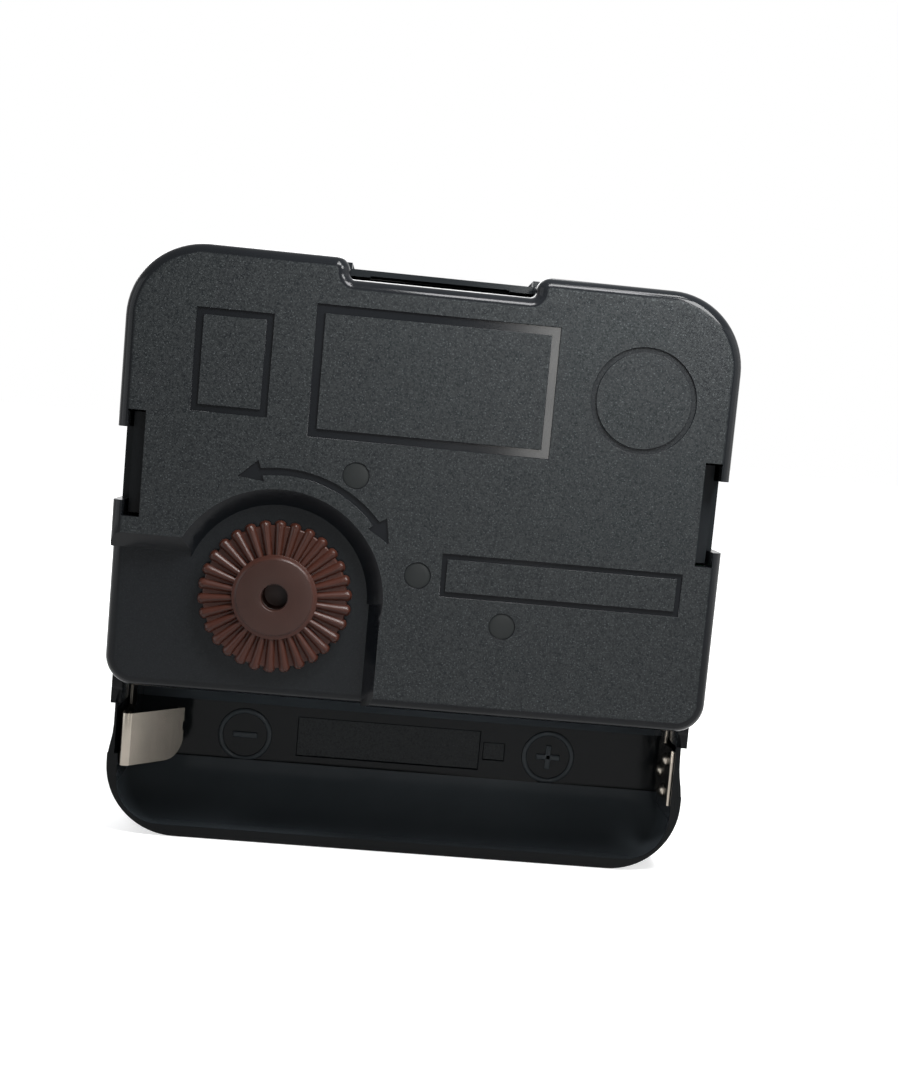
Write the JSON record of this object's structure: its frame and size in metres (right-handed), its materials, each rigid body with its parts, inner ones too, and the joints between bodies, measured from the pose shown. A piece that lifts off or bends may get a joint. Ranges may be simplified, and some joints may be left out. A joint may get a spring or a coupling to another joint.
{
  "type": "quartz clock movement",
  "caption": "Battery quartz clock movement with threaded hand shaft, coaxial hour, minute and second spindles, gear train, setting knob and open cell bay.",
  "frame": {"origin": "hand shaft's axis at the case's front mounting face", "axes": "+Z is twelve o'clock, away from the cell bay; -Y points forward along the hand shaft, towards the hands; +Y is the rear with the setting knob"},
  "size_m": [0.056, 0.0306, 0.056],
  "materials": {
    "black_plastic_case": "satin moulded plastic",
    "turned_brass": "turned brass",
    "black_plastic_cover": "fine spark texture, polished edges",
    "white_plastic": "moulded plastic",
    "board_laminate": "green solder mask",
    "black_resin": "cast resin",
    "crystal_can": "drawn metal can",
    "bobbin_plastic": "moulded plastic",
    "enamelled_copper": "fine enamelled wire",
    "core_iron": "punched sheet",
    "stator_iron": "punched sheet",
    "nickel_strip": "nickel plated strip",
    "nickel_contact": "nickel plated sheet",
    "nickel_spring": "nickel plated spring sheet",
    "brown_plastic": "moulded plastic with a soft sheen",
    "wheel_plastic_minute": "moulded plastic",
    "minute_brass": "turned brass",
    "wheel_plastic_hour": "moulded plastic",
    "wheel_plastic_centre": "moulded plastic",
    "spring_steel": "thin spring sheet",
    "wheel_plastic_third": "moulded plastic",
    "wheel_plastic_second": "moulded plastic",
    "arbor_steel": "ground steel",
    "wheel_plastic_intermediate": "moulded plastic",
    "rotor_plastic": "moulded plastic",
    "magnet_ferrite": "pressed magnet"
  },
  "bodies": {
    "case": {"front_case": "black_plastic_case", "threaded_bushing": "turned_brass", "rear_cover": "black_plastic_cover", "middle_plate": "white_plastic", "circuit_board": "board_laminate", "chip_cap": "black_resin", "quartz_crystal": "crystal_can", "coil_bobbin": "bobbin_plastic", "coil_winding": "enamelled_copper", "coil_core": "core_iron", "stator": "stator_iron", "negative_strip": "nickel_strip", "positive_contact": "nickel_contact"},
    "negative_spring": {"negative_spring": "nickel_spring"},
    "setting_knob": {"setting_knob": "brown_plastic"},
    "minute_wheel": {"minute_wheel": "wheel_plastic_minute"},
    "minute_tube": {"minute_tube": "minute_brass"},
    "hour_wheel": {"hour_wheel": "wheel_plastic_hour"},
    "centre_wheel": {"centre_wheel": "wheel_plastic_centre", "clutch_spring": "spring_steel"},
    "third_wheel": {"third_wheel": "wheel_plastic_third"},
    "second_wheel": {"second_wheel": "wheel_plastic_second", "second_arbor": "arbor_steel"},
    "intermediate_wheel": {"intermediate_wheel": "wheel_plastic_intermediate"},
    "rotor": {"rotor_pinion": "rotor_plastic", "rotor_magnet": "magnet_ferrite"}
  },
  "joints": [
    {"name": "second_hand_spin", "type": "hinge", "parent": "case", "child": "second_wheel", "pos_m": [0, 0.008, 0], "axis": [0, 1, 0], "continuous": true},
    {"name": "rotor_spin", "type": "hinge", "parent": "case", "child": "rotor", "pos_m": [-0.01256, 0.008, 0.00037], "axis": [0, 1, 0], "continuous": true},
    {"name": "intermediate_spin", "type": "hinge", "parent": "case", "child": "intermediate_wheel", "pos_m": [-0.00815, 0.008, -0.00405], "axis": [0, 1, 0], "continuous": true},
    {"name": "third_spin", "type": "hinge", "parent": "case", "child": "third_wheel", "pos_m": [0.00635, 0.008, 0.00858], "axis": [0, 1, 0], "continuous": true},
    {"name": "centre_spin", "type": "hinge", "parent": "case", "child": "centre_wheel", "pos_m": [0, 0.008, 0], "axis": [0, 1, 0], "continuous": true},
    {"name": "minute_hand_spin", "type": "hinge", "parent": "case", "child": "minute_tube", "pos_m": [0, 0, 0], "axis": [0, 1, 0], "continuous": true},
    {"name": "minute_wheel_spin", "type": "hinge", "parent": "case", "child": "minute_wheel", "pos_m": [0.00446, 0.003, -0.00527], "axis": [0, 1, 0], "continuous": true},
    {"name": "hour_hand_spin", "type": "hinge", "parent": "case", "child": "hour_wheel", "pos_m": [0, 0, 0], "axis": [0, 1, 0], "continuous": true},
    {"name": "knob_spin", "type": "hinge", "parent": "case", "child": "setting_knob", "pos_m": [0.01282, 0.012, -0.00316], "axis": [0, 1, 0], "continuous": true},
    {"name": "negative_spring_bend", "type": "hinge", "parent": "case", "child": "negative_spring", "pos_m": [0.0263, 0.0089, -0.0188], "axis": [0, 0, 1], "range_deg": [0, 25], "stiffness_Nm_per_rad": 0.04}
  ],
  "couplings": [
    {"joint": "intermediate_spin", "follows": "second_hand_spin", "ratio": -6},
    {"joint": "rotor_spin", "follows": "second_hand_spin", "ratio": 30},
    {"joint": "third_spin", "follows": "second_hand_spin", "ratio": -0.13333},
    {"joint": "centre_spin", "follows": "second_hand_spin", "ratio": 0.016667},
    {"joint": "minute_wheel_spin", "follows": "minute_hand_spin", "ratio": -0.33333},
    {"joint": "hour_hand_spin", "follows": "minute_hand_spin", "ratio": 0.083333},
    {"joint": "knob_spin", "follows": "minute_hand_spin", "ratio": 0.5}
  ]
}
